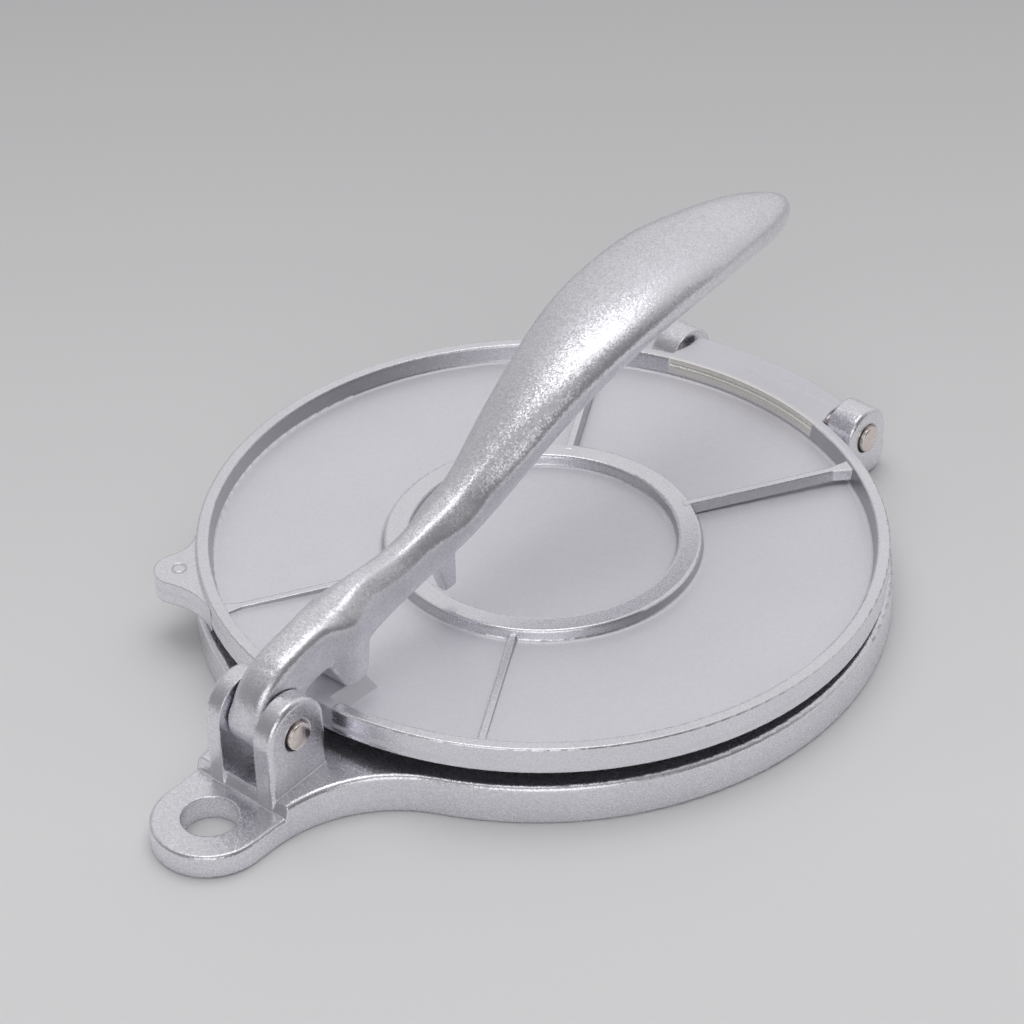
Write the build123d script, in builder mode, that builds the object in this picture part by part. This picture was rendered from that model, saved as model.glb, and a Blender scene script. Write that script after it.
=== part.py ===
from build123d import *
from math import atan, cos, degrees, radians, sin, sqrt, tan
import os

# Cast aluminium tortilla press, in millimetres.
# The origin is the centre of the base disc, on the surface that the press stands on.
# +X runs along the rear hinge, +Y from the lever to the rear hinge, +Z up.

# ---- driving dimensions ----

# base disc and its pan underneath
base_radius = 101.0           # a little wider than the top plate
base_height = 12.5
base_web = 5.0                # thickness of the pressing face
base_wall = 4.5               # outer wall around the pan
base_top_round = 1.5
base_foot_round = 0.8
base_rib_count = 6
base_rib_width = 3.5
base_rib_recess = 2.0         # the ribs stop this far above the table
base_hub_radius = 14.0        # central boss, flush with the foot of the wall

# tongue with the hanging hole, and the neck that joins it to the disc
tongue_half_width = 16.5
tongue_height = 7.5
tongue_round = 1.0
neck_radius = 42.0            # concave side of the neck
hang_hole_y = -base_radius - 36.7
hang_hole_radius = 8.0
step_y = -base_radius - 23.6  # wall between the tongue and the clevis block
step_slope = 1.0
block_height = 11.2

# clevis for the lever
lever_pin_y = -base_radius - 14.0
lever_pin_z = 27.8
clevis_ear_radius = 10.8
clevis_ear_width = 6.0
clevis_ear_round = 1.6
clevis_side_gap = 0.35        # between the lever boss and each ear

# rear hinge
hinge_y = base_radius + 4.0
hinge_z = 14.2
hinge_ear_inner_x = 29.3
hinge_ear_width = 9.4
hinge_ear_radius = 9.4
hinge_ear_round = 1.4
hinge_ear_heel = 6.0          # rounding under the ear, at the table
hinge_ear_root = base_radius - 13.0  # the rear of the pan is solid from here on
barrel_radius = 7.0
barrel_half_width = 27.6
barrel_gap = 1.0              # between the barrel and the base

# pins
pin_radius = 4.0
pin_fit = 0.02                # pressed in the base
pin_running = 0.05            # turning in the lever and the plate
pin_head_radius = 4.25
pin_head_height = 1.7
pin_head_round = 0.5
pin_dome = 0.3
pin_tail_chamfer = 0.8
pin_tail_gap = 0.5            # left behind the inner end of each hinge pin
bore_mouth = 0.9              # chamfer around each pin head
hinge_pin_grip = 12.0         # length of the hinge pin inside the plate

# top plate
plate_radius = base_radius - 1.2
plate_tilt = 1.25             # degrees that it stands open at rest
plate_seat = 0.3              # gap to the base face under the hinge side of the plate
plate_web = 3.0
rim_height = 8.3
rim_width = 3.6
rim_draft = 1.2               # how far the foot of the inner wall comes inwards
rim_foot_round = 1.0
rim_edge_round = 0.6
ring_radius = 45.7
ring_width = 6.4
ring_height = 3.4             # above the web
ring_draft = 0.8
rib_angle = 30.0              # degrees of each rib from the lever's line
rib_top_width = 2.2
rib_foot_width = 3.4
rib_height = 2.7
rim_flare_length = 6.0        # the ribs widen over this length before the rim
rib_flare = 1.6
rib_lap = 3.0                 # the ribs run this far into the ring
foot_lap = 0.5                # what stands on the web starts this far inside it
shelf_radius = plate_radius + 12.2
shelf_half_width = 28.6
shelf_under = 2.5             # height of the shelf's underside above the pressing face
shelf_back_round = 1.5
ear_cut_radius = 14.5         # concave cut that clears each rear ear
ear_cut_x = 42.0
ear_cut_y = hinge_y - 2.5
rim_step_angle = 16.5         # the inner wall is cut back between these angles from +Y
rim_step_depth = 0.3
rim_step_foot = 1.2            # the cut stops this far above the web
tab_angle = -130.5            # degrees from +X to the middle of the lifting tab
tab_tip_radius = 6.8
tab_reach = plate_radius + 12.2
tab_front_blend = 22.0        # concave flank nearer the lever
tab_back_blend = 11.0
tab_height = 7.4
mark_reach = tab_reach - 7.0  # round ejector mark on the tab
mark_radius = 2.3
mark_width = 0.6
mark_depth = 0.3
pad_half_width = 6.0          # wedge pad that the lever's cam bears on
pad_top_height = 8.0
pad_length = 14.2
pad_foot_half_width = 9.0
pad_foot_length = 16.8
pad_round = 1.0
pad_lap = 2.0                 # the pad runs this far into the rim

# lever, side view measured from its pin: +first to the rear, +second up
boss_radius = 8.6
boss_half_width = 6.0
boss_round = 1.2
nose_gap = 0.3                # between the cam nose and the pad at rest
nose_reach = 28.6             # from the pin to the middle of the nose
nose_rear_reach = 33.6
nose_front_reach = 25.0
nose_half_width = 7.9
nose_half_length = 10.5
nose_round = 2.6
nose_edge_round = 1.2
nose_throat = (37.0, 6.4)     # where the nose leaves the underside of the arm
nose_arch = (20.8, 5.8)       # the arch in front of it spans the rim of the top plate
nose_root = 13.0              # the nose runs up into the arm as far as this
arm_first = 2                 # the root of the arm ends at this section

# lever, lofted over sections that lean with it:
# (distance from the pin, height over the pin, slope in degrees,
#  half width, half height, squareness of the corners)
lever_sections = [
    (-0.1, -0.3, 71.5, 5.9, 8.4, 0.97),
    (3.0, 6.65, 57.0, 6.0, 9.1, 0.96),
    (7.25, 10.2, 43.0, 6.0, 8.1, 0.96),
    (10.2, 11.4, 35.0, 6.0, 7.8, 0.96),
    (13.6, 12.3, 27.0, 6.0, 7.5, 0.95),
    (18.5, 13.1, 14.0, 6.1, 7.5, 0.94),
    (23.8, 13.7, 8.0, 7.3, 7.7, 0.93),
    (28.75, 14.3, 6.0, 8.5, 7.85, 0.92),
    (33.5, 15.1, 4.0, 7.6, 8.0, 0.92),
    (38.4, 15.7, 3.0, 6.3, 8.2, 0.92),
    (46.0, 16.7, 5.0, 6.0, 7.2, 0.90),
    (53.0, 17.5, 9.0, 6.0, 6.5, 0.88),
    (68.0, 20.8, 20.0, 6.7, 6.4, 0.80),
    (81.8, 25.6, 28.0, 8.0, 6.3, 0.72),
    (95.6, 33.1, 30.0, 9.9, 6.3, 0.65),
    (110.9, 41.8, 27.5, 12.4, 6.3, 0.60),
    (127.0, 49.5, 21.5, 14.9, 6.3, 0.58),
    (145.0, 55.2, 13.0, 16.8, 6.3, 0.57),
    (165.0, 57.9, 3.0, 17.1, 6.3, 0.57),
    (185.0, 57.8, -4.0, 15.3, 6.3, 0.57),
    (202.0, 56.1, -8.5, 12.4, 6.0, 0.57),
    (213.5, 54.1, -12.0, 9.5, 5.5, 0.57),
    (221.0, 52.3, -15.0, 6.5, 4.6, 0.57),
    (225.0, 51.2, -17.0, 3.8, 3.3, 0.57),
    (226.6, 50.7, -18.0, 1.8, 1.8, 0.57),
]
foot_share = 0.72             # width of the flat foot of a section over its full width
grip_wall = 3.4               # the grip is hollow underneath
grip_lip = 1.0                # the hollow is drawn this far past the foot of the grip
hollow_first = 14             # the hollow runs from this section
hollow_last = 20              # up to this one

# stop lug under the arm
lug_reach = 74.0
lug_half_width = 1.7
lug_bottom_z = 27.2
lug_top_z = 48.6
lug_half_length = 2.6
lug_slope = 7.0

# ---- frames worked out from the above ----

tilt = radians(plate_tilt)
plate_axes = dict(x_dir=(1, 0, 0), z_dir=(0, sin(tilt), cos(tilt)))
plate_under = base_height + plate_seat - hinge_z
hinge_plane = Plane(origin=(0, hinge_y, hinge_z), **plate_axes)
plate_plane = Plane(
    origin=hinge_plane.from_local_coords((0, -hinge_y, plate_under)), **plate_axes
)
hinge_axis_plane = Plane(origin=(0, hinge_y, hinge_z), x_dir=(0, 1, 0), z_dir=(1, 0, 0))
lever_axis_plane = Plane(
    origin=(0, lever_pin_y, lever_pin_z), x_dir=(0, 1, 0), z_dir=(1, 0, 0)
)
clevis_half_gap = boss_half_width + clevis_side_gap
clevis_half_width = clevis_half_gap + clevis_ear_width
hinge_ear_outer_x = hinge_ear_inner_x + hinge_ear_width

# neck arcs: tangent to the disc and to the sides of the tongue
neck_x = tongue_half_width + neck_radius
neck_y = -sqrt((base_radius + neck_radius) ** 2 - neck_x**2)
neck_share = base_radius / (base_radius + neck_radius)
neck_on_disc = (neck_x * neck_share, neck_y * neck_share)
neck_on_tongue = (tongue_half_width, neck_y)
tongue_tip = (0, hang_hole_y - tongue_half_width)
rib_taper = degrees(atan((rib_foot_width - rib_top_width) / 2 / rib_height))


# tab flanks: concave arcs that touch both the rim and the tip circle
def flank(blend, side):
    """Points where a concave flank leaves the rim and meets the tip circle."""
    far = plate_radius + blend
    near = tab_tip_radius + blend
    centre_to_tip = tab_reach - tab_tip_radius
    cosine = (far**2 + centre_to_tip**2 - near**2) / (2 * far * centre_to_tip)
    sine = side * sqrt(1 - cosine**2)
    hub = (far * cosine, far * sine)
    on_rim = (plate_radius * cosine, plate_radius * sine)
    share = tab_tip_radius / near
    on_tip = (centre_to_tip + (hub[0] - centre_to_tip) * share, hub[1] * share)
    return on_rim, on_tip


tab_front = flank(tab_front_blend, 1)
tab_back = flank(tab_back_blend, -1)


def pad_top_z(y):
    """Height of the pad's top face at a given y."""
    above_hinge = plate_under + pad_top_height
    return hinge_z + above_hinge / cos(tilt) + (hinge_y - y) * tan(tilt)


# ---- base plate ----

# rear ears, with a rounded heel and a foot that runs into the disc
with BuildPart() as rear_ears:
    for side in (-1, 1):
        with BuildSketch(Plane.YZ.offset(side * hinge_ear_inner_x)):
            with Locations((hinge_y, hinge_z)):
                Circle(hinge_ear_radius)
            with BuildLine():
                FilletPolyline(
                    (hinge_ear_root, 0),
                    (hinge_y + hinge_ear_radius, 0),
                    (hinge_y + hinge_ear_radius, hinge_z),
                    (hinge_y - hinge_ear_radius, hinge_z),
                    (hinge_y - hinge_ear_radius, base_height - base_top_round),
                    (hinge_ear_root, base_height - base_top_round),
                    radius=(0, hinge_ear_heel, 0, 0, 0, 0),
                    close=True,
                )
            make_face()
        extrude(amount=side * hinge_ear_width)
    ear_faces = rear_ears.faces().filter_by(Axis.X)
    fillet(
        ear_faces.filter_by(lambda face: abs(face.center().X) > hinge_ear_outer_x - 0.01).edges(),
        hinge_ear_round,
    )

with BuildPart() as base_plate:
    with BuildSketch() as outline:
        Circle(base_radius)
        with BuildLine():
            RadiusArc(neck_on_disc, neck_on_tongue, -neck_radius)
            Line(neck_on_tongue, (tongue_half_width, hang_hole_y))
            ThreePointArc(
                (tongue_half_width, hang_hole_y), tongue_tip, (-tongue_half_width, hang_hole_y)
            )
            Line((-tongue_half_width, hang_hole_y), (-tongue_half_width, neck_y))
            RadiusArc(
                (-tongue_half_width, neck_y), (-neck_on_disc[0], neck_on_disc[1]), -neck_radius
            )
            Line((-neck_on_disc[0], neck_on_disc[1]), neck_on_disc)
        make_face()
    extrude(amount=base_height)

    # the tongue is lower than the block, and the block slopes up to the disc
    with BuildSketch(Plane.YZ):
        with BuildLine():
            Polyline(
                (tongue_tip[1] - 1, base_height + 1),
                (tongue_tip[1] - 1, tongue_height),
                (step_y - step_slope, tongue_height),
                (step_y, block_height),
                (-base_radius, base_height),
                (-base_radius, base_height + 1),
                close=True,
            )
        make_face()
    extrude(amount=neck_x, both=True, mode=Mode.SUBTRACT)
    outer_edges = base_plate.edges().filter_by(Axis.X, reverse=True).filter_by(Axis.Z, reverse=True)
    fillet(outer_edges.filter_by_position(Axis.Z, block_height, base_height), base_top_round)
    fillet(outer_edges.filter_by_position(Axis.Z, tongue_height, tongue_height), tongue_round)
    fillet(base_plate.faces().sort_by(Axis.Z)[0].edges(), base_foot_round)

    # pan under the pressing face, solid under the rear hinge
    with BuildSketch():
        Circle(base_radius - base_wall)
        with Locations((0, hinge_ear_root)):
            Rectangle(
                2 * base_radius, base_radius, align=(Align.CENTER, Align.MIN), mode=Mode.SUBTRACT
            )
    extrude(amount=base_height - base_web, mode=Mode.SUBTRACT)
    with BuildSketch(Plane.XY.offset(base_rib_recess)):
        with PolarLocations(0, base_rib_count // 2, start_angle=90):
            Rectangle(2 * base_radius - base_wall, base_rib_width)
        with BuildLine():
            Polyline(
                (-base_radius, hinge_ear_root + 1),
                (base_radius, hinge_ear_root + 1),
                (base_radius, base_radius),
                (-base_radius, base_radius),
                close=True,
            )
        make_face(mode=Mode.SUBTRACT)
    extrude(amount=base_height - base_web - base_rib_recess + 0.5)
    with BuildSketch():
        Circle(base_hub_radius)
    extrude(amount=base_height - base_web + 0.5)

    # hanging hole
    with BuildSketch():
        with Locations((0, hang_hole_y)):
            Circle(hang_hole_radius)
    extrude(amount=tongue_height, mode=Mode.SUBTRACT)

    # clevis ears
    for side in (-1, 1):
        with BuildSketch(Plane.YZ.offset(side * clevis_half_gap)):
            with Locations((lever_pin_y, lever_pin_z)):
                Circle(clevis_ear_radius)
                Rectangle(
                    2 * clevis_ear_radius,
                    lever_pin_z - tongue_height / 2,
                    align=(Align.CENTER, Align.MAX),
                )
        extrude(amount=side * clevis_ear_width)
    ear_edges = base_plate.edges().filter_by(
        lambda edge: abs(abs(edge.center().X) - clevis_half_width) < 0.01
    )
    fillet(ear_edges.filter_by(lambda edge: edge.center().Z > base_height), clevis_ear_round)

    add(rear_ears.part)

    # relief for the plate's barrel, and the bores
    with BuildSketch(hinge_axis_plane):
        Circle(barrel_radius + barrel_gap)
    extrude(amount=hinge_ear_inner_x, both=True, mode=Mode.SUBTRACT)
    with BuildSketch(hinge_axis_plane):
        Circle(pin_radius + pin_fit)
    extrude(amount=hinge_ear_outer_x, both=True, mode=Mode.SUBTRACT)
    with BuildSketch(lever_axis_plane):
        Circle(pin_radius + pin_fit)
    extrude(amount=clevis_half_width, both=True, mode=Mode.SUBTRACT)
    outer_faces = base_plate.faces().filter_by(
        lambda face: abs(face.center().X) > 12 and abs(face.normal_at().X) > 0.99
    )
    mouths = outer_faces.edges().filter_by(GeomType.CIRCLE)
    mouths = mouths.filter_by(lambda edge: abs(edge.radius - pin_radius - pin_fit) < 0.001)
    chamfer(mouths.filter_by(lambda edge: abs(edge.center().X) > clevis_half_width - 1), bore_mouth)
base_plate.part.label = "base_plate"


# ---- top plate ----

def section_at(angle):
    """Half-section plane of the plate at an angle from +X."""
    turned = plate_plane.rotated((0, 0, angle))
    return Plane(origin=plate_plane.origin, x_dir=turned.x_dir, z_dir=-turned.y_dir)


plate_axis = Axis(plate_plane.origin, plate_plane.z_dir)
rim_top_inner = plate_radius - rim_width
ring_top_inner = ring_radius - ring_width

with BuildPart() as top_plate:
    # web, central ring and rim, turned about the plate's own axis
    with BuildSketch(section_at(0)):
        with BuildLine():
            FilletPolyline(
                (0, 0),
                (plate_radius, 0),
                (plate_radius, rim_height),
                (rim_top_inner, rim_height),
                (rim_top_inner - rim_draft, plate_web),
                (ring_radius + ring_draft, plate_web),
                (ring_radius, plate_web + ring_height),
                (ring_top_inner, plate_web + ring_height),
                (ring_top_inner - ring_draft, plate_web),
                (0, plate_web),
                radius=(
                    0,
                    rim_edge_round,
                    rim_edge_round,
                    rim_edge_round,
                    rim_foot_round,
                    rim_foot_round,
                    rim_foot_round,
                    rim_foot_round,
                    rim_foot_round,
                    0,
                ),
                close=True,
            )
        make_face()
    revolve(axis=plate_axis)

    # beside the shelf the inner wall is machined upright
    with BuildSketch(section_at(90 - rim_step_angle)):
        with Locations((rim_top_inner + rim_step_depth, plate_web + rim_step_foot)):
            Rectangle(rim_width, rim_height, align=(Align.MAX, Align.MIN))
    revolve(axis=plate_axis, revolution_arc=2 * rim_step_angle, mode=Mode.SUBTRACT)

    # four ribs from the ring to the rim
    for angle in (rib_angle, 180 - rib_angle, 180 + rib_angle, -rib_angle):
        with BuildSketch(plate_plane.offset(plate_web - foot_lap).rotated((0, 0, angle + 90))):
            with BuildLine():
                Polyline(
                    (ring_radius - rib_lap, -rib_foot_width / 2),
                    (rim_top_inner - rim_flare_length, -rib_foot_width / 2),
                    (rim_top_inner + 1, -rib_foot_width / 2 - rib_flare),
                    (rim_top_inner + 1, rib_foot_width / 2 + rib_flare),
                    (rim_top_inner - rim_flare_length, rib_foot_width / 2),
                    (ring_radius - rib_lap, rib_foot_width / 2),
                    close=True,
                )
            make_face()
        extrude(amount=rib_height + foot_lap, taper=rib_taper)

    # wedge pad for the lever
    with BuildSketch(plate_plane.offset(plate_web - foot_lap)):
        with Locations((0, -rim_top_inner - pad_lap)):
            Rectangle(
                2 * pad_foot_half_width,
                pad_foot_length + pad_lap,
                align=(Align.CENTER, Align.MIN),
            )
    with BuildSketch(plate_plane.offset(pad_top_height)):
        with Locations((0, -rim_top_inner - pad_lap)):
            Rectangle(
                2 * pad_half_width,
                pad_length + pad_lap,
                align=(Align.CENTER, Align.MIN),
            )
    loft()
    pad_face = top_plate.faces().filter_by(
        lambda face: abs(plate_plane.to_local_coords(face.center()).Z - pad_top_height) < 0.01
    )
    fillet(pad_face.edges().group_by(Axis.Y)[-1], pad_round)

    # lifting tab
    with BuildSketch(plate_plane.offset(rim_height - tab_height).rotated((0, 0, tab_angle))):
        with BuildLine():
            RadiusArc(tab_front[0], tab_front[1], -tab_front_blend)
            ThreePointArc(tab_front[1], (tab_reach, 0), tab_back[1])
            RadiusArc(tab_back[1], tab_back[0], -tab_back_blend)
            Polyline(tab_back[0], (rim_top_inner + 1, 0), tab_front[0])
        make_face()
    extrude(amount=tab_height)
    with BuildSketch(plate_plane.offset(rim_height).rotated((0, 0, tab_angle))):
        with Locations((mark_reach, 0)):
            Circle(mark_radius)
            Circle(mark_radius - mark_width, mode=Mode.SUBTRACT)
    extrude(amount=-mark_depth, mode=Mode.SUBTRACT)

    # rear shelf, cut back beside each ear
    with BuildSketch(plate_plane.offset(shelf_under)):
        Circle(shelf_radius)
        with Locations((0, shelf_radius)):
            Rectangle(2 * shelf_half_width, plate_radius, mode=Mode.INTERSECT)
        Circle(plate_radius - rim_width / 2, mode=Mode.SUBTRACT)
        with Locations((-ear_cut_x, ear_cut_y), (ear_cut_x, ear_cut_y)):
            Circle(ear_cut_radius, mode=Mode.SUBTRACT)
    extrude(amount=rim_height - shelf_under)
    shelf_edge = top_plate.edges().filter_by(GeomType.CIRCLE).filter_by(
        lambda edge: abs(edge.radius - shelf_radius) < 0.01
    )
    fillet(shelf_edge.sort_by(Axis.Z)[-1], shelf_back_round)
    with BuildSketch(hinge_axis_plane):
        Circle(barrel_radius)
    extrude(amount=barrel_half_width, both=True)
    for side in (-1, 1):
        with BuildSketch(Plane.YZ.offset(side * (hinge_ear_inner_x - hinge_pin_grip))):
            with Locations((hinge_y, hinge_z)):
                Circle(pin_radius + pin_running)
        extrude(amount=side * hinge_pin_grip, mode=Mode.SUBTRACT)
top_plate.part.label = "top_plate"


# ---- lever ----

nose_bottom = pad_top_z(lever_pin_y + nose_reach) + nose_gap - lever_pin_z


def lean(section):
    """Plane across the lever at one of its sections."""
    reach, rise, slope = section[:3]
    along = radians(slope)
    return Plane(
        origin=(0, lever_pin_y + reach, lever_pin_z + rise),
        x_dir=(-1, 0, 0),
        z_dir=(0, cos(along), sin(along)),
    )


def section_curves(half_width, top, bottom, squareness):
    """Control points of a section with a flat foot and rounded sides and crown."""
    foot = half_width * foot_share
    turn = foot + 0.6 * (half_width - foot)
    return (
        ((-foot, bottom), (foot, bottom)),
        ((foot, bottom), (turn, bottom), (half_width, squareness * bottom), (half_width, 0)),
        ((half_width, 0), (half_width, squareness * top), (squareness * half_width, top), (0, top)),
        ((0, top), (-squareness * half_width, top), (-half_width, squareness * top), (-half_width, 0)),
        ((-half_width, 0), (-half_width, squareness * bottom), (-turn, bottom), (-foot, bottom)),
    )


with BuildPart() as nose_block:
    with BuildSketch(Plane.XY.offset(lever_pin_z + nose_bottom)):
        with Locations((0, lever_pin_y + nose_reach)):
            Ellipse(nose_half_width, nose_half_length)
    extrude(amount=nose_root - nose_bottom)
    with BuildSketch(lever_axis_plane):
        with BuildLine():
            FilletPolyline(
                (nose_arch[0], nose_root),
                nose_arch,
                (nose_front_reach, nose_bottom),
                (nose_rear_reach, nose_bottom),
                nose_throat,
                (nose_throat[0], nose_root),
                radius=(0, nose_edge_round, nose_round, nose_round, nose_edge_round, 0),
                close=True,
            )
        make_face()
    extrude(amount=nose_half_width, both=True, mode=Mode.INTERSECT)

with BuildPart() as press_lever:
    # boss around the pin
    with BuildSketch(lever_axis_plane):
        Circle(boss_radius)
    extrude(amount=boss_half_width, both=True)
    fillet(press_lever.edges().filter_by(GeomType.CIRCLE), boss_round)

    # root of the arm over the boss, then the arm and the grip
    for run in (lever_sections[: arm_first + 1], lever_sections[arm_first:]):
        for section in run:
            half_width, half_height, squareness = section[3:]
            with BuildSketch(lean(section)):
                with BuildLine():
                    for curve in section_curves(half_width, half_height, -half_height, squareness):
                        Bezier(*curve)
                make_face()
        loft()

    # cam nose under the arm
    add(nose_block.part)

    # hollow underside of the grip
    for section in lever_sections[hollow_first : hollow_last + 1]:
        half_width, half_height, squareness = section[3:]
        with BuildSketch(lean(section)):
            with BuildLine():
                for curve in section_curves(
                    half_width - grip_wall,
                    half_height - grip_wall,
                    -half_height - grip_lip,
                    squareness,
                ):
                    Bezier(*curve)
            make_face()
    loft(mode=Mode.SUBTRACT)

    # stop lug
    lug_y = lever_pin_y + lug_reach
    with BuildSketch(Plane.YZ):
        with BuildLine():
            Polyline(
                (lug_y - lug_half_length, lug_bottom_z),
                (lug_y + lug_half_length, lug_bottom_z),
                (lug_y + lug_half_length, lug_top_z),
                (lug_y - lug_half_length - lug_slope, lug_top_z),
                close=True,
            )
        make_face()
    extrude(amount=lug_half_width, both=True)

    with BuildSketch(lever_axis_plane):
        Circle(pin_radius + pin_running)
    extrude(amount=boss_half_width, both=True, mode=Mode.SUBTRACT)
press_lever.part.label = "press_lever"


# ---- pins ----

def pin_end(face_x):
    """Half-section of the upset end of a pin that fills the chamfer in an ear's face."""
    seat_x = face_x - bore_mouth + pin_fit
    swell = pin_head_radius - pin_radius
    return (
        (seat_x, pin_radius),
        (seat_x + swell, pin_head_radius),
        (face_x + pin_head_height - pin_head_round, pin_head_radius),
        (face_x + pin_head_height, pin_head_radius - pin_head_round),
        (face_x + pin_head_height + pin_dome, 0),
    )


with BuildPart() as lever_pin:
    with BuildSketch(Plane(origin=(0, lever_pin_y, lever_pin_z))):
        with BuildLine():
            head = pin_end(clevis_half_width)
            Polyline((0, 0), (0, pin_radius), *head[:-1])
            Spline(head[-2], head[-1], tangents=((1, -1), (0, -1)))
            Line(head[-1], (0, 0))
        make_face()
    revolve(axis=Axis((0, lever_pin_y, lever_pin_z), (1, 0, 0)))
    mirror(about=Plane.YZ)
lever_pin.part.label = "lever_pin"

with BuildPart() as hinge_pin_right:
    with BuildSketch(Plane(origin=(0, hinge_y, hinge_z))):
        with BuildLine():
            head = pin_end(hinge_ear_outer_x)
            tail_x = hinge_ear_inner_x - hinge_pin_grip + pin_tail_gap
            Polyline(
                (tail_x, 0), (tail_x, pin_radius - pin_tail_chamfer), (tail_x + pin_tail_chamfer, pin_radius), *head[:-1]
            )
            Spline(head[-2], head[-1], tangents=((1, -1), (0, -1)))
            Line(head[-1], (tail_x, 0))
        make_face()
    revolve(axis=Axis((0, hinge_y, hinge_z), (1, 0, 0)))
hinge_pin_right.part.label = "hinge_pin_right"

with BuildPart() as hinge_pin_left:
    add(mirror(hinge_pin_right.part, about=Plane.YZ))
hinge_pin_left.part.label = "hinge_pin_left"


os.makedirs("parts", exist_ok=True)
for piece in (base_plate, top_plate, press_lever, lever_pin, hinge_pin_left, hinge_pin_right):
    export_step(piece.part, f"parts/{piece.part.label}.step")
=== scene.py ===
"""Tortilla press: cast aluminium finishes, nickel pins, rounded lever casting and a plain studio."""
from math import cos, pi, radians, sin

import bmesh
import bpy
import numpy as np
from bpy.props import FloatProperty, FloatVectorProperty, PointerProperty
from mathutils import Matrix, Vector


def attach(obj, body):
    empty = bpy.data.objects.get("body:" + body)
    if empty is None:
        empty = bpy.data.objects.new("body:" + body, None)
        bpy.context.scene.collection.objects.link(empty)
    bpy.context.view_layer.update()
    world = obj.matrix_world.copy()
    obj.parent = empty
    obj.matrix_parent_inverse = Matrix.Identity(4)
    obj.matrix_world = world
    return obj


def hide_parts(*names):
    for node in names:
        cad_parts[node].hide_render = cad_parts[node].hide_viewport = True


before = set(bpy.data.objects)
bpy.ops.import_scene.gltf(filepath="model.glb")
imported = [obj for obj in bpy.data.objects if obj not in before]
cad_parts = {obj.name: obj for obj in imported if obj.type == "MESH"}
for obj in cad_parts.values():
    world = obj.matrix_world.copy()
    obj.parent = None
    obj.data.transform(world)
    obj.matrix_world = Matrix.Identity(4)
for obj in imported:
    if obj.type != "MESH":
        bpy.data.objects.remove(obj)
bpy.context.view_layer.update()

bl_info = {
    "name": "Tortilla Press Looks",
    "version": (1, 0, 0),
    "blender": (4, 5, 0),
    "location": "View3D > Sidebar > Press",
    "description": "Finishes, lever casting and studio of a cast aluminium tortilla press",
    "category": "Object",
}

MM = 0.001

# soft cards on the studio walls: direction, outer and inner half angle in degrees, brightness added
WORLD_CARDS = (
    ((0.60, -0.67, 0.42), 32.0, 10.0, 1.10),
    ((0.95, 0.05, 0.45), 50.0, 12.0, -0.08),
    ((-0.98, -0.15, 0.40), 50.0, 12.0, -0.18),
)
# area lights: name, place and size in metres, watts, seen in the metal
STUDIO_LIGHTS = (
    ("overhead", (-0.10, 0.05, 1.75), (0.9, 0.9), 3.6, True),
    ("wash", (-0.1, 0.1, 1.8), (1.8, 1.8), 11.0, False),
)
# brightness of the studio walls: from the near side to the far side, and added towards the ceiling
WALL_SPAN = (-0.5, 0.6)
WALL_LIGHT = (0.22, 0.66)
CEILING_SPAN = (0.35, 0.95)
CEILING_LIGHT = 0.05
WORLD_TINT = (1.0, 1.0, 1.01)
# the floor: half its side, its depth under the press, and the span behind it over which it is painted
# darker as painted shade, in metres
FLOOR_HALF = 4.0
FLOOR_DROP = 0.02 * MM
FLOOR_SHADE_SPAN = (-0.10, 0.45)
SENSOR_WIDTH = 36.0

# a point of the upper face of the top plate's web in millimetres, and its normal
WEB_POINT = (0.0, 0.06, 18.0902)
WEB_NORMAL = (0.0, 0.02181, 0.99976)
# where the masks of the top plate fade, in millimetres. TOP, BOTTOM and FOOT are heights over the web,
# REACH, INNER and OUTER distances from the middle, REAR and FRONT lie along Y and SIDE along X either way
WEB_TOP = (0.15, 0.45)
WEB_BOTTOM = (-1.5, -1.0)
PAD_REAR = (-79.0, -78.5)
PAD_SIDE = (9.4, 9.6)
WALL_FOOT = (0.1, 0.4)
WALL_REACH = (97.2, 97.6)
SHELF_TOP = (4.0, 5.5)
SHELF_REACH = (97.4, 98.2)
SHELF_FRONT = (84.0, 88.0)
BAND_INNER = (94.4, 94.6)
BAND_OUTER = (97.0, 97.1)
BAND_FOOT = (0.9, 1.2)
BAND_TOP = (8.15, 8.25)
# degrees either side of the rear that the turned band reaches, and over which it fades
BAND_ANGLE = 16.5
BAND_FADE = 0.15
# how far a face may look up and still count as a wall that gets painted shade
WALL_UPWARD = (0.35, 0.6)
# level normal of the stretch of rim wall that gets little painted shade, how near to it a face looks, and
# the share of the painted shade left there
BRIGHT_WALL_NORMAL = (0.42, -0.90, 0.0)
BRIGHT_WALL_SPAN = (0.55, 0.95)
BRIGHT_WALL_SHARE = 0.15

# axes of the lever pin and of the hinge pins in millimetres: y and z
LEVER_AXIS = (-115.0, 27.8)
PLATE_AXIS = (105.0, 14.2)
# pins: node, axis, both ends along X in millimetres, and which of them are domed
PINS = (
    ("lever_pin", LEVER_AXIS, -14.0, 14.0, True, True),
    ("hinge_pin_left", PLATE_AXIS, -40.4, -17.8, True, False),
    ("hinge_pin_right", PLATE_AXIS, 17.8, 40.4, False, True),
)
PIN_RADIUS = 4.0
PIN_ROUND = 0.5
PIN_DOME = 0.45
PIN_CHAMFER = 0.8
PIN_SIDES = 64
# painted shade in the seams round the pin ends, in millimetres: distance from the axis, and from the
# press's middle plane
SEAT_REACH = (4.7, 5.0)
SEAT_OUTSIDE = (11.0, 11.6)
# the painted shade in the seam is darkest on its front side and fades to this share towards its rear
SEAT_SIDE = (-0.5, 0.4)
SEAT_FAINT = 0.25

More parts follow.
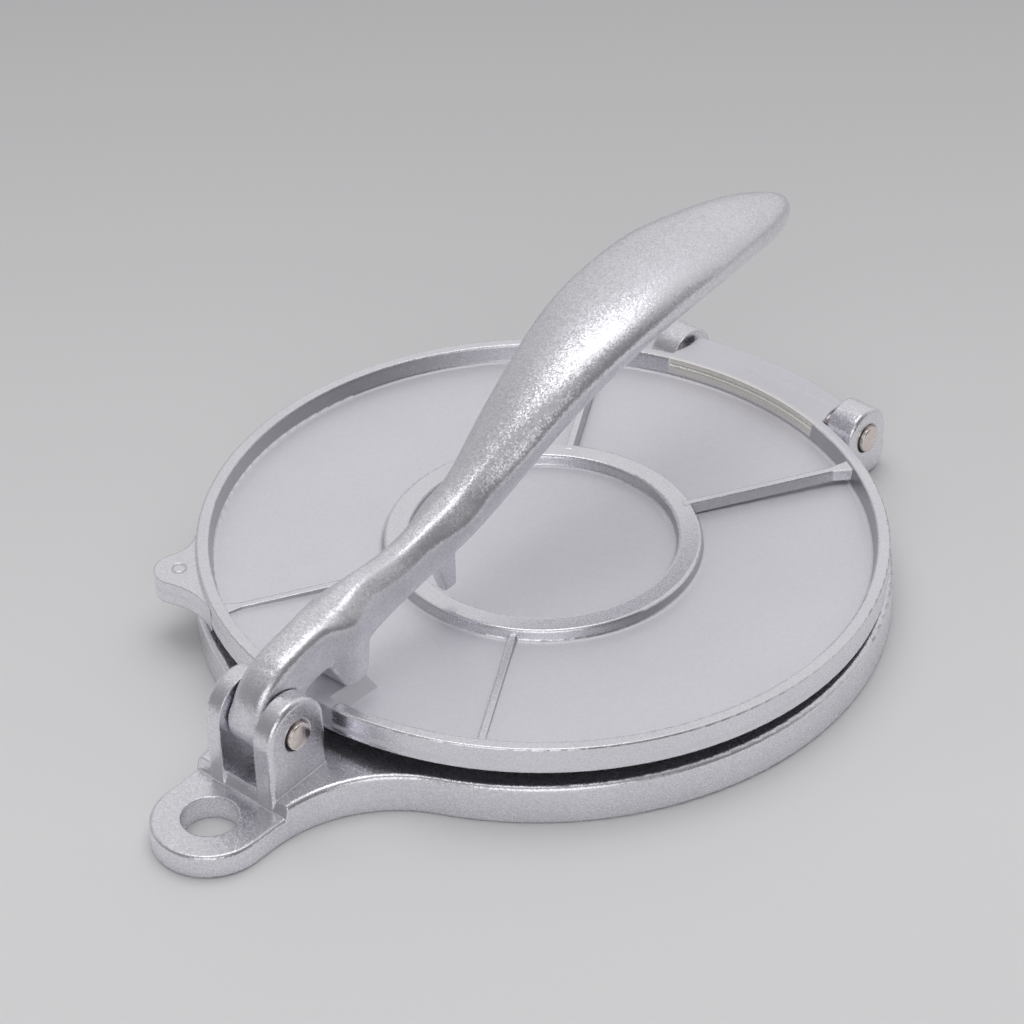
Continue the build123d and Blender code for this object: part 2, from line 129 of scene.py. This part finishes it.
# the lever's sections in millimetres and degrees: y, z, slope, half width, half height
ARM_LINE = (
    (-91.2, 41.5, 8.0, 7.3, 7.7),
    (-86.25, 42.1, 6.0, 8.5, 7.85),
    (-81.5, 42.9, 4.0, 7.6, 8.0),
    (-76.6, 43.5, 3.0, 6.3, 8.2),
    (-69.0, 44.5, 5.0, 6.0, 7.2),
    (-62.0, 45.3, 9.0, 6.0, 6.5),
    (-47.0, 48.6, 20.0, 6.7, 6.4),
    (-33.2, 53.4, 28.0, 8.0, 6.3),
    (-19.4, 60.9, 30.0, 9.9, 6.3),
    (-4.1, 69.6, 27.5, 12.4, 6.3),
    (12.0, 77.3, 21.5, 14.9, 6.3),
)
# where along the arm its crown begins and ends, in millimetres
ARM_FADE_IN = (-95.0, -86.0)
ARM_FADE_OUT = (-30.0, 4.0)
# shares of the half width and of the half height over which the shoulders fall away
ARM_SHOULDER = (0.25, 1.1)
ARM_UPPER = (-0.2, 1.0)
ARM_FALL_POWER = 1.5


# ---- settings ----

class PressFinish(bpy.types.PropertyGroup):
    aluminium: FloatVectorProperty(
        name="Aluminium",
        description="Colour of the bare casting",
        subtype="COLOR",
        size=3,
        min=0.0,
        max=1.0,
        default=(0.86, 0.85, 0.895),
    )
    nickel: FloatVectorProperty(
        name="Nickel",
        description="Colour of the plated pins",
        subtype="COLOR",
        size=3,
        min=0.0,
        max=1.0,
        default=(0.84, 0.76, 0.72),
    )
    grain_size: FloatProperty(
        name="Grain size",
        description="Distance between the grains of the tumbled casting",
        default=0.36 * MM,
        unit="LENGTH",
    )
    edge_radius: FloatProperty(
        name="Edge radius",
        description="How far edges are worn round",
        default=0.7 * MM,
        unit="LENGTH",
    )


class PressLever(bpy.types.PropertyGroup):
    step: FloatProperty(
        name="Surface step",
        description="Edge length of the mesh that the rounded lever is built on",
        default=0.6 * MM,
        unit="LENGTH",
    )
    crown: FloatProperty(
        name="Crown",
        description="How far the shoulders of the arm lie below its crown",
        default=2.6 * MM,
        unit="LENGTH",
    )
    spread: FloatProperty(
        name="Spread",
        description="Share by which the foot of the arm is wider than its top",
        default=0.03,
    )


class PressStudio(bpy.types.PropertyGroup):
    floor_near: FloatVectorProperty(
        name="Floor",
        description="Colour of the floor around the press",
        subtype="COLOR",
        size=3,
        min=0.0,
        max=1.0,
        default=(0.725, 0.725, 0.733),
    )
    # painted shade: the floor is painted darker towards this colour behind the press
    floor_shaded: FloatVectorProperty(
        name="Far floor",
        description="Colour of the floor where it falls away behind the press",
        subtype="COLOR",
        size=3,
        min=0.0,
        max=1.0,
        default=(0.455, 0.455, 0.46),
    )
    azimuth: FloatProperty(
        name="Camera azimuth",
        description="Camera angle round the press, from the front towards its right",
        default=radians(41.81),
        unit="ROTATION",
        subtype="ANGLE",
    )
    elevation: FloatProperty(
        name="Camera elevation",
        description="Camera angle above the floor",
        default=radians(36.91),
        unit="ROTATION",
        subtype="ANGLE",
    )
    roll: FloatProperty(
        name="Camera roll",
        description="Tilt of the picture",
        default=radians(-1.62),
        unit="ROTATION",
        subtype="ANGLE",
    )
    distance: FloatProperty(
        name="Camera distance",
        description="From the camera to the point it looks at",
        default=1.068,
        unit="LENGTH",
    )
    target: FloatVectorProperty(
        name="Camera target",
        description="Point that the camera looks at",
        subtype="TRANSLATION",
        size=3,
        default=(-0.016, 0.005, 0.0188),
    )
    lens: FloatProperty(
        name="Lens",
        description="Focal length of the camera in millimetres",
        default=128.71,
    )


# ---- shader groups ----

def shader_group(name, inputs, outputs):
    """A shader node group with its named sockets, and its input and output nodes."""
    tree = bpy.data.node_groups.new(name, "ShaderNodeTree")
    for label, kind, value in inputs:
        socket = tree.interface.new_socket(name=label, in_out="INPUT", socket_type=kind)
        socket.default_value = value
    for label, kind in outputs:
        tree.interface.new_socket(name=label, in_out="OUTPUT", socket_type=kind)
    return tree, tree.nodes.new("NodeGroupInput"), tree.nodes.new("NodeGroupOutput")


def feed(tree, socket, value):
    """Links a socket to an input, or types a value into it."""
    if isinstance(value, bpy.types.NodeSocket):
        tree.links.new(value, socket)
    else:
        socket.default_value = value


def math_node(tree, operation, *values):
    """A math node fed by sockets or numbers; returns its output."""
    node = tree.nodes.new("ShaderNodeMath")
    node.operation = operation
    for socket, value in zip(node.inputs, values):
        feed(tree, socket, value)
    return node.outputs[0]


def vector_node(tree, operation, *values):
    """A vector math node fed by sockets or triples; returns it."""
    node = tree.nodes.new("ShaderNodeVectorMath")
    node.operation = operation
    for socket, value in zip(node.inputs, values):
        feed(tree, socket, value)
    return node


def dot(tree, first, second):
    """The dot product of two sockets or triples."""
    return vector_node(tree, "DOT_PRODUCT", first, second).outputs["Value"]


def product(tree, first, *others):
    """All the numbers or sockets multiplied together."""
    for other in others:
        first = math_node(tree, "MULTIPLY", first, other)
    return first


def ramp(tree, value, low, high, to_low=0.0, to_high=1.0, smooth=True):
    """Maps a value from one range to another, held at both ends."""
    node = tree.nodes.new("ShaderNodeMapRange")
    node.interpolation_type = "SMOOTHSTEP" if smooth else "LINEAR"
    tree.links.new(value, node.inputs["Value"])
    for label, number in (("From Min", low), ("From Max", high), ("To Min", to_low), ("To Max", to_high)):
        node.inputs[label].default_value = number
    return node.outputs["Result"]


def ramp_mm(tree, value, span, to_low=0.0, to_high=1.0):
    """Maps a length over a span given in millimetres."""
    return ramp(tree, value, span[0] * MM, span[1] * MM, to_low, to_high)


def blend_colour(tree, mask, first, second):
    """Mixes two colours, each a socket or a triple, by a mask."""
    node = tree.nodes.new("ShaderNodeMix")
    node.data_type = "RGBA"
    feed(tree, node.inputs[0], mask)
    for socket, value in ((node.inputs[6], first), (node.inputs[7], second)):
        feed(tree, socket, value if isinstance(value, bpy.types.NodeSocket) else (*value, 1.0))
    return node.outputs[2]


def blend_value(tree, mask, first, second):
    """Mixes two numbers or sockets by a mask."""
    node = tree.nodes.new("ShaderNodeMix")
    for socket, value in zip((node.inputs[0], node.inputs[2], node.inputs[3]), (mask, first, second)):
        feed(tree, socket, value)
    return node.outputs[0]


def worn_highlit_edges_group():
    """Rounded normals along edges, and a mask of them that the finishes use both for smoother worn edges
    and for a painted highlight along them.
    """
    tree, start, end = shader_group(
        "worn_highlit_edges",
        [("Radius", "NodeSocketFloat", 0.7 * MM)],
        [("Normal", "NodeSocketVector"), ("Edge", "NodeSocketFloat")],
    )
    bevel = tree.nodes.new("ShaderNodeBevel")
    bevel.samples = 8
    tree.links.new(start.outputs["Radius"], bevel.inputs["Radius"])
    geometry = tree.nodes.new("ShaderNodeNewGeometry")
    facing = dot(tree, bevel.outputs["Normal"], geometry.outputs["Normal"])
    turned = math_node(tree, "SUBTRACT", 1.0, facing)
    tree.links.new(ramp(tree, turned, 0.02, 0.22), end.inputs["Edge"])
    tree.links.new(bevel.outputs["Normal"], end.inputs["Normal"])
    return tree


def cast_grain_group():
    """Grain of a tumbled aluminium casting: small tilted facets, fine bumps and slow tone changes."""
    tree, start, end = shader_group(
        "cast_grain",
        [
            ("Normal", "NodeSocketVector", (0.0, 0.0, 1.0)),
            ("Grain Size", "NodeSocketFloat", 0.55 * MM),
            ("Tilt", "NodeSocketFloat", 0.2),
            ("Tone", "NodeSocketFloat", 0.06),
        ],
        [("Normal", "NodeSocketVector"), ("Tone", "NodeSocketFloat"), ("Gloss", "NodeSocketFloat")],
    )
    facet_smoothness = 0.35
    ripple_scale, ripple_weight = 0.28, 0.3  # shares of the facets' scale and weight
    drift_scale, drift_weight = 42.0, 0.3
    drift_span = (0.3, 0.7)
    where = tree.nodes.new("ShaderNodeTexCoord").outputs["Object"]
    scale = math_node(tree, "DIVIDE", 1.0, start.outputs["Grain Size"])

    ripple = tree.nodes.new("ShaderNodeTexNoise")
    ripple.inputs["Detail"].default_value = 2.0
    tree.links.new(where, ripple.inputs["Vector"])
    tree.links.new(math_node(tree, "MULTIPLY", scale, ripple_scale), ripple.inputs["Scale"])

    facets = tree.nodes.new("ShaderNodeTexVoronoi")
    facets.feature = "SMOOTH_F1"
    facets.inputs["Smoothness"].default_value = facet_smoothness
    tree.links.new(where, facets.inputs["Vector"])
    tree.links.new(scale, facets.inputs["Scale"])

    centred = vector_node(tree, "SUBTRACT", facets.outputs["Color"], (0.5, 0.5, 0.5))
    rippled = vector_node(tree, "SUBTRACT", ripple.outputs["Color"], (0.5, 0.5, 0.5))
    weak = vector_node(tree, "SCALE", rippled.outputs["Vector"])
    weak.inputs["Scale"].default_value = ripple_weight
    both = vector_node(tree, "ADD", centred.outputs["Vector"], weak.outputs["Vector"])
    tilted = vector_node(tree, "SCALE", both.outputs["Vector"])
    tree.links.new(start.outputs["Tilt"], tilted.inputs["Scale"])
    summed = vector_node(tree, "ADD", start.outputs["Normal"], tilted.outputs["Vector"])
    unit = vector_node(tree, "NORMALIZE", summed.outputs["Vector"])
    tree.links.new(unit.outputs["Vector"], end.inputs["Normal"])

    slow = tree.nodes.new("ShaderNodeTexNoise")
    slow.inputs["Scale"].default_value = drift_scale
    slow.inputs["Detail"].default_value = 4.0
    tree.links.new(where, slow.inputs["Vector"])
    drift = ramp(tree, slow.outputs["Fac"], *drift_span, -1.0, 1.0)
    part = tree.nodes.new("ShaderNodeSeparateColor")
    tree.links.new(facets.outputs["Color"], part.inputs["Color"])
    speck = ramp(tree, part.outputs["Red"], 0.0, 1.0, -1.0, 1.0)
    mixed = math_node(tree, "ADD", math_node(tree, "MULTIPLY", drift, drift_weight), speck)
    tree.links.new(math_node(tree, "MULTIPLY", mixed, start.outputs["Tone"]), end.inputs["Tone"])
    tree.links.new(mixed, end.inputs["Gloss"])
    return tree


def group_node(tree, group, **values):
    """Places a shader group and sets its inputs."""
    node = tree.nodes.new("ShaderNodeGroup")
    node.node_tree = group
    for label, value in values.items():
        node.inputs[label.replace("_", " ")].default_value = value
    return node


def new_material(name):
    """A node material, its tree and its shader."""
    material = bpy.data.materials.new(name)
    material.use_nodes = True
    tree = material.node_tree
    return material, tree, tree.nodes["Principled BSDF"]


def cast_material(name, colour, grain_size, edge_radius, roughness, tilt, tone, zones=()):
    """Bare metal with grain, and with edges worn smoother that also carry a painted highlight; each zone
    has a mask, a roughness, a grain and a tint, and some of these tints are painted shade.
    """
    material, tree, shader = new_material(name)
    groups = bpy.data.node_groups
    edges = group_node(tree, groups["worn_highlit_edges"], Radius=edge_radius)
    grain = group_node(tree, groups["cast_grain"], Grain_Size=grain_size, Tilt=tilt, Tone=tone)
    tree.links.new(edges.outputs["Normal"], grain.inputs["Normal"])
    tree.links.new(grain.outputs["Normal"], shader.inputs["Normal"])

    rough, lean, fleck, tint = roughness, tilt, tone, tuple(colour)
    for make_mask, zone_rough, zone_grain, zone_tint in zones:
        mask = make_mask(tree)
        rough = blend_value(tree, mask, rough, zone_rough)
        lean = blend_value(tree, mask, lean, zone_grain)
        fleck = blend_value(tree, mask, fleck, zone_grain)
        tint = blend_colour(tree, mask, tint, zone_tint)
    if zones:
        tree.links.new(lean, grain.inputs["Tilt"])
        tree.links.new(fleck, grain.inputs["Tone"])

    # the edge mask paints a highlight along the rounded edges by brightening their colour with the first
    # share, and makes them smoother with the second
    edge_highlight_gain, worn_smoother, grain_smoother = 0.10, 0.08, 0.04
    worn = math_node(tree, "MULTIPLY", edges.outputs["Edge"], edge_highlight_gain)
    brightness = math_node(tree, "ADD", math_node(tree, "ADD", 1.0, grain.outputs["Tone"]), worn)
    shade = vector_node(tree, "SCALE", tint)
    tree.links.new(brightness, shade.inputs["Scale"])
    tree.links.new(shade.outputs["Vector"], shader.inputs["Base Color"])

    for mask, share in ((grain.outputs["Gloss"], grain_smoother), (edges.outputs["Edge"], worn_smoother)):
        rough = math_node(tree, "SUBTRACT", rough, math_node(tree, "MULTIPLY", mask, share))
    tree.links.new(rough, shader.inputs["Roughness"])
    shader.inputs["Metallic"].default_value = 1.0
    return material


def object_axes(tree):
    """The object coordinates, whole and as x, y and z."""
    where = tree.nodes.new("ShaderNodeTexCoord").outputs["Object"]
    split = tree.nodes.new("ShaderNodeSeparateXYZ")
    tree.links.new(where, split.inputs[0])
    return where, split.outputs


def above_web(tree, where):
    """Height over the upper face of the top plate's web."""
    lifted = vector_node(tree, "SUBTRACT", where, tuple(v * MM for v in WEB_POINT))
    return dot(tree, lifted.outputs["Vector"], WEB_NORMAL)


def from_middle(tree, axis):
    """Distance from the middle of the plate, seen from above."""
    level = tree.nodes.new("ShaderNodeCombineXYZ")
    tree.links.new(axis["X"], level.inputs["X"])
    tree.links.new(axis["Y"], level.inputs["Y"])
    return vector_node(tree, "LENGTH", level.outputs[0]).outputs["Value"]


def web_mask(tree):
    """The smooth faces of the top plate: between the rim, the ring and the ribs, and on the pad."""
    where, axis = object_axes(tree)
    height = above_web(tree, where)
    low = ramp_mm(tree, height, WEB_TOP, 1.0, 0.0)
    front = ramp_mm(tree, axis["Y"], PAD_REAR, 1.0, 0.0)
    narrow = ramp_mm(tree, math_node(tree, "ABSOLUTE", axis["X"]), PAD_SIDE, 1.0, 0.0)
    mask = math_node(tree, "MAXIMUM", low, product(tree, front, narrow))
    return product(tree, mask, ramp_mm(tree, height, WEB_BOTTOM))


def painted_wall_shade_mask(tree):
    """Painted shade on the upright inner walls of the rim, the ring and the ribs, which also get their own
    roughness and grain; walls that face one given way keep only a small share of the painted shade.
    """
    where, axis = object_axes(tree)
    normal = tree.nodes.new("ShaderNodeNewGeometry").outputs["Normal"]
    return product(
        tree,
        ramp(tree, dot(tree, normal, WEB_NORMAL), *WALL_UPWARD, 1.0, 0.0),
        ramp_mm(tree, above_web(tree, where), WALL_FOOT),
        ramp(tree, dot(tree, normal, BRIGHT_WALL_NORMAL), *BRIGHT_WALL_SPAN, 1.0, BRIGHT_WALL_SHARE),
        ramp_mm(tree, from_middle(tree, axis), WALL_REACH, 1.0, 0.0),
    )


def shelf_mask(tree):
    """The smooth top of the shelf behind the rim."""
    where, axis = object_axes(tree)
    return product(
        tree,
        ramp_mm(tree, above_web(tree, where), SHELF_TOP),
        ramp_mm(tree, from_middle(tree, axis), SHELF_REACH),
        ramp_mm(tree, axis["Y"], SHELF_FRONT),
    )


def turned_band_mask(tree):
    """The turned stretch on the inner wall of the rim, in front of the shelf."""
    where, axis = object_axes(tree)
    height = above_web(tree, where)
    reach = from_middle(tree, axis)
    along = math_node(tree, "DIVIDE", axis["Y"], reach)
    return product(
        tree,
        ramp_mm(tree, reach, BAND_OUTER, 1.0, 0.0),
        ramp_mm(tree, reach, BAND_INNER),
        ramp(tree, along, cos(radians(BAND_ANGLE + BAND_FADE)), cos(radians(BAND_ANGLE))),
        ramp_mm(tree, height, BAND_FOOT),
        ramp_mm(tree, height, BAND_TOP, 1.0, 0.0),
    )


def pin_seam_painted_shade_mask(tree):
    """Painted shade in the seams around the pin ends in the faces of the ears."""
    axis = object_axes(tree)[1]
    seats = []
    for y, z in (LEVER_AXIS, PLATE_AXIS):
        across = math_node(tree, "SUBTRACT", axis["Y"], y * MM)
        level = tree.nodes.new("ShaderNodeCombineXYZ")
        tree.links.new(across, level.inputs["Y"])
        tree.links.new(math_node(tree, "SUBTRACT", axis["Z"], z * MM), level.inputs["Z"])
        reach = vector_node(tree, "LENGTH", level.outputs[0]).outputs["Value"]
        side = ramp(tree, math_node(tree, "DIVIDE", across, reach), *SEAT_SIDE, 1.0, SEAT_FAINT)
        seats.append(product(tree, ramp_mm(tree, reach, SEAT_REACH, 1.0, 0.0), side))
    outside = ramp_mm(tree, math_node(tree, "ABSOLUTE", axis["X"]), SEAT_OUTSIDE)
    return product(tree, math_node(tree, "MAXIMUM", *seats), outside)


def give(obj, material):
    """Makes this the only material of an object."""
    obj.data.materials.clear()
    obj.data.materials.append(material)


def domed_end(x, side):
    """Outline of a pin's domed end from its middle outwards; side is the way it faces along X."""
    points = [(x, 0.0)]
    flat = PIN_RADIUS - PIN_ROUND
    for share in (0.35, 0.7, 1.0):
        points.append((x - side * PIN_DOME * share * share, flat * share))
    for turn in (30.0, 60.0, 90.0):
        a = radians(turn)
        points.append((x - side * (PIN_DOME + PIN_ROUND * (1.0 - cos(a))), flat + PIN_ROUND * sin(a)))
    return points


def plain_end(x, side):
    """Outline of a pin's chamfered inner end from its middle outwards."""
    return [(x, 0.0), (x, PIN_RADIUS - PIN_CHAMFER), (x - side * PIN_CHAMFER, PIN_RADIUS)]


def risen(values, start, stop):
    """Rises evenly from nought to one between two values."""
    return np.clip((values - start) / (stop - start), 0.0, 1.0)


def eased(values, start, stop):
    """Rises smoothly from nought to one between two values."""
    share = risen(values, start, stop)
    return share * share * (3.0 - 2.0 * share)


# ---- operators ----

class PRESS_OT_finishes(bpy.types.Operator):
    """Build the shader groups that the finishes share"""
    bl_idname = "press.finishes"
    bl_label = "Shared Finishes"

    def execute(self, context):
        worn_highlit_edges_group()
        cast_grain_group()
        return {"FINISHED"}


class PRESS_OT_base(bpy.types.Operator):
    """Finish the base plate casting"""
    bl_idname = "press.base"
    bl_label = "Base Plate"

    def execute(self, context):
        finish = context.scene.press_finish
        material = cast_material(
            "base_casting", finish.aluminium, finish.grain_size, finish.edge_radius,
            roughness=0.30, tilt=0.13, tone=0.08,
            # painted shade: the seams round the pin ends are tinted nearly black, darkest on their front
            # side
            zones=((pin_seam_painted_shade_mask, 0.5, 0.0, (0.10, 0.10, 0.11)),),
        )
        give(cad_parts["base_plate"], material)
        return {"FINISHED"}


class PRESS_OT_plate(bpy.types.Operator):
    """Finish the top plate casting"""
    bl_idname = "press.plate"
    bl_label = "Top Plate"

    def execute(self, context):
        finish = context.scene.press_finish
        material = cast_material(
            "plate_casting", finish.aluminium, finish.grain_size, finish.edge_radius,
            roughness=0.28, tilt=0.07, tone=0.045,
            zones=(
                # painted shade: the inner walls are tinted about half as bright as the bare casting
                (painted_wall_shade_mask, 0.34, 0.04, (0.50, 0.495, 0.52)),
                (web_mask, 0.60, 0.015, (0.90, 0.89, 0.935)),
                (shelf_mask, 0.46, 0.015, (0.80, 0.79, 0.835)),
                (turned_band_mask, 0.24, 0.0, (1.0, 0.97, 0.91)),
            ),
        )
        give(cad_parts["top_plate"], material)
        return {"FINISHED"}


class PRESS_OT_lever(bpy.types.Operator):
    """Round the lever casting and finish it"""
    bl_idname = "press.lever"
    bl_label = "Lever"

    def execute(self, context):
        finish = context.scene.press_finish
        material = cast_material(
            "lever_casting", finish.aluminium, finish.grain_size, finish.edge_radius,
            roughness=0.34, tilt=0.18, tone=0.10,
        )
        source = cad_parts["press_lever"]
        give(source, material)
        lever = self.rounded(context, source)
        give(lever, material)
        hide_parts("press_lever")
        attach(lever, "lever")
        return {"FINISHED"}

    def rounded(self, context, source):
        """A copy of the lever on an even mesh, crowned and with its edges cast round."""
        settings = context.scene.press_lever
        shape = bmesh.new()
        shape.from_mesh(source.data)
        shape.transform(source.matrix_world)
        bmesh.ops.remove_doubles(shape, verts=shape.verts, dist=0.001 * MM)
        mesh = bpy.data.meshes.new("lever_casting")
        shape.to_mesh(mesh)
        shape.free()
        raw = bpy.data.objects.new("lever_raw", mesh)
        context.scene.collection.objects.link(raw)
        even = raw.modifiers.new("even", "REMESH")
        even.mode = "VOXEL"
        even.voxel_size = settings.step
        soft = raw.modifiers.new("soft", "SMOOTH")
        soft.factor = 0.5
        soft.iterations = 8
        graph = context.evaluated_depsgraph_get()
        result = bpy.data.meshes.new_from_object(raw.evaluated_get(graph))
        bpy.data.objects.remove(raw)
        bpy.data.meshes.remove(mesh)
        self.crowned(result, settings)
        lever = bpy.data.objects.new("lever_casting", result)
        context.scene.collection.objects.link(lever)
        result.shade_smooth()
        return lever

    def crowned(self, mesh, settings):
        """Lets the shoulders of the arm fall away from its crown and spreads its foot."""
        place = np.empty(len(mesh.vertices) * 3, dtype=np.float32)
        mesh.vertices.foreach_get("co", place)
        place = place.reshape(-1, 3)
        line = np.array(ARM_LINE)
        stations = line[:, 0] * MM
        x, y, z = place.T.copy()
        along = y.copy()
        for _ in range(4):
            middle = np.interp(along, stations, line[:, 1] * MM)
            slope = np.radians(np.interp(along, stations, line[:, 2]))
            along = y + (z - middle) * np.tan(slope)
        half_width = np.interp(along, stations, line[:, 3] * MM)
        half_height = np.interp(along, stations, line[:, 4] * MM)
        rise = (z - middle) / np.cos(slope) / half_height
        strength = eased(along / MM, *ARM_FADE_IN) * (1.0 - eased(along / MM, *ARM_FADE_OUT))
        upper = risen(rise, *ARM_UPPER)
        lower = np.clip(0.9 - 0.6 * rise, 0.0, 1.0)
        shoulder = eased(np.abs(x / half_width), *ARM_SHOULDER)
        fall = settings.crown * strength * shoulder * upper ** ARM_FALL_POWER
        place[:, 0] = x * (1.0 + settings.spread * strength * lower)
        place[:, 1] = y + fall * np.sin(slope)
        place[:, 2] = z - fall * np.cos(slope)
        mesh.vertices.foreach_set("co", place.ravel())
        mesh.update()


class PRESS_OT_pins(bpy.types.Operator):
    """Turn the three pins with domed ends and finish them"""
    bl_idname = "press.pins"
    bl_label = "Pins"

    def execute(self, context):
        finish = context.scene.press_finish
        material = cast_material(
            "nickel_pin", finish.nickel, 2.2 * finish.grain_size, 0.35 * finish.edge_radius,
            roughness=0.24, tilt=0.05, tone=0.05,
        )
        for name, (y, z), near, far, near_domed, far_domed in PINS:
            give(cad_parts[name], material)
            near_end = domed_end(near, -1.0) if near_domed else plain_end(near, -1.0)
            far_end = domed_end(far, 1.0) if far_domed else plain_end(far, 1.0)
            outline = near_end + far_end[::-1]
            pin = self.turned(context, name + "_turned", outline, y, z)
            give(pin, material)
            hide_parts(name)
            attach(pin, "base")
        return {"FINISHED"}

    def turned(self, context, name, outline, y, z):
        """A closed round body along X from its outline of (x, radius) in millimetres."""
        around = PIN_SIDES
        points = []
        faces = []
        ring = [(cos(2 * pi * i / around), sin(2 * pi * i / around)) for i in range(around)]
        for x, radius in outline[1:-1]:
            points += [(x * MM, (y + radius * c) * MM, (z + radius * d) * MM) for c, d in ring]
        last = len(outline) - 3
        for row in range(last):
            for i in range(around):
                j = (i + 1) % around
                a, b = row * around, (row + 1) * around
                faces.append((a + i, b + i, b + j, a + j))
        first_pole = len(points)
        points += [(outline[0][0] * MM, y * MM, z * MM), (outline[-1][0] * MM, y * MM, z * MM)]
        for i in range(around):
            j = (i + 1) % around
            faces.append((first_pole, i, j))
            faces.append((first_pole + 1, last * around + j, last * around + i))
        mesh = bpy.data.meshes.new(name)
        mesh.from_pydata(points, [], faces)
        mesh.update()
        mesh.shade_smooth()
        pin = bpy.data.objects.new(name, mesh)
        context.scene.collection.objects.link(pin)
        return pin


class PRESS_OT_stage(bpy.types.Operator):
    """Lay the floor, hang the soft lights and place the camera"""
    bl_idname = "press.stage"
    bl_label = "Studio"

    def execute(self, context):
        studio = context.scene.press_studio
        self.floor(context, studio)
        self.lights(context, studio)
        self.camera(context, studio)
        return {"FINISHED"}

    def away(self, studio):
        """Level direction in which the camera looks."""
        return (-sin(studio.azimuth), cos(studio.azimuth), 0.0)

    def floor(self, context, studio):
        mesh = bpy.data.meshes.new("floor")
        corners = [(-1, -1), (1, -1), (1, 1), (-1, 1)]
        points = [(x * FLOOR_HALF, y * FLOOR_HALF, -FLOOR_DROP) for x, y in corners]
        mesh.from_pydata(points, [], [(0, 1, 2, 3)])
        floor = bpy.data.objects.new("floor", mesh)
        context.scene.collection.objects.link(floor)

        material, tree, shader = new_material("studio_floor")
        where = tree.nodes.new("ShaderNodeTexCoord").outputs["Object"]
        # painted shade: the floor's colour darkens from the near colour to this one along the way the
        # camera looks
        fall = ramp(tree, dot(tree, where, self.away(studio)), *FLOOR_SHADE_SPAN, smooth=False)
        colour = blend_colour(tree, fall, studio.floor_near, studio.floor_shaded)
        tree.links.new(colour, shader.inputs["Base Color"])
        shader.inputs["Roughness"].default_value = 0.75
        shader.inputs["Specular IOR Level"].default_value = 0.2
        give(floor, material)

    def lights(self, context, studio):
        world = bpy.data.worlds.new("studio")
        context.scene.world = world
        world.use_nodes = True
        tree = world.node_tree
        background = tree.nodes["Background"]
        direction = tree.nodes.new("ShaderNodeTexCoord").outputs["Generated"]
        split = tree.nodes.new("ShaderNodeSeparateXYZ")
        tree.links.new(direction, split.inputs[0])
        light = ramp(tree, dot(tree, direction, self.away(studio)), *WALL_SPAN, *WALL_LIGHT)
        ceiling = ramp(tree, split.outputs["Z"], *CEILING_SPAN, 0.0, CEILING_LIGHT)
        light = math_node(tree, "ADD", light, ceiling)
        for toward, outer, inner, amount in WORLD_CARDS:
            facing = dot(tree, direction, Vector(toward).normalized())
            card = ramp(tree, facing, cos(radians(outer)), cos(radians(inner)), 0.0, amount)
            light = math_node(tree, "ADD", light, card)
        tinted = vector_node(tree, "SCALE", WORLD_TINT)
        tree.links.new(light, tinted.inputs["Scale"])
        tree.links.new(tinted.outputs["Vector"], background.inputs["Color"])
        background.inputs["Strength"].default_value = 1.0

        for name, place, size, power, seen in STUDIO_LIGHTS:
            data = bpy.data.lights.new(name, "AREA")
            data.shape = "RECTANGLE"
            data.size, data.size_y = size
            data.energy = power
            lamp = bpy.data.objects.new(name, data)
            lamp.location = place
            lamp.rotation_euler = (-Vector(place)).to_track_quat("-Z", "Y").to_euler()
            lamp.visible_glossy = seen
            context.scene.collection.objects.link(lamp)

    def camera(self, context, studio):
        a, e, r = studio.azimuth, studio.elevation, studio.roll
        back = Vector((sin(a) * cos(e), -cos(a) * cos(e), sin(e)))
        level_right = Vector((cos(a), sin(a), 0.0))
        level_up = back.cross(level_right)
        right = cos(r) * level_right + sin(r) * level_up
        up = back.cross(right)
        data = bpy.data.cameras.new("camera")
        data.sensor_width = SENSOR_WIDTH
        data.lens = studio.lens
        data.clip_start, data.clip_end = 0.01, 50.0
        camera = bpy.data.objects.new("camera", data)
        turn = Matrix((right, up, back)).transposed()
        place = Vector(studio.target) + studio.distance * back
        camera.matrix_world = Matrix.Translation(place) @ turn.to_4x4()
        context.scene.collection.objects.link(camera)
        context.scene.camera = camera
        context.scene.view_settings.view_transform = "Standard"


class PRESS_PT_sidebar(bpy.types.Panel):
    """Lists the finishes and the steps that build them"""
    bl_idname = "PRESS_PT_sidebar"
    bl_label = "Tortilla Press"
    bl_space_type = "VIEW_3D"
    bl_region_type = "UI"
    bl_category = "Press"

    def draw(self, context):
        layout = self.layout
        for settings in (context.scene.press_finish, context.scene.press_lever, context.scene.press_studio):
            box = layout.box()
            for name in settings.__annotations__:
                box.prop(settings, name)
        for operator in OPERATORS:
            layout.operator(operator.bl_idname)


SETTINGS = (
    ("press_finish", PressFinish),
    ("press_lever", PressLever),
    ("press_studio", PressStudio),
)
OPERATORS = (
    PRESS_OT_finishes,
    PRESS_OT_base,
    PRESS_OT_plate,
    PRESS_OT_lever,
    PRESS_OT_pins,
    PRESS_OT_stage,
)


def register():
    for name, group in SETTINGS:
        bpy.utils.register_class(group)
        setattr(bpy.types.Scene, name, PointerProperty(type=group))
    for cls in (*OPERATORS, PRESS_PT_sidebar):
        bpy.utils.register_class(cls)


def unregister():
    for cls in (PRESS_PT_sidebar, *reversed(OPERATORS)):
        bpy.utils.unregister_class(cls)
    for name, group in reversed(SETTINGS):
        delattr(bpy.types.Scene, name)
        bpy.utils.unregister_class(group)


def main():
    register()
    bpy.ops.press.finishes()
    bpy.ops.press.base()
    bpy.ops.press.plate()
    bpy.ops.press.lever()
    bpy.ops.press.pins()
    bpy.ops.press.stage()


if __name__ == "__main__":
    main()
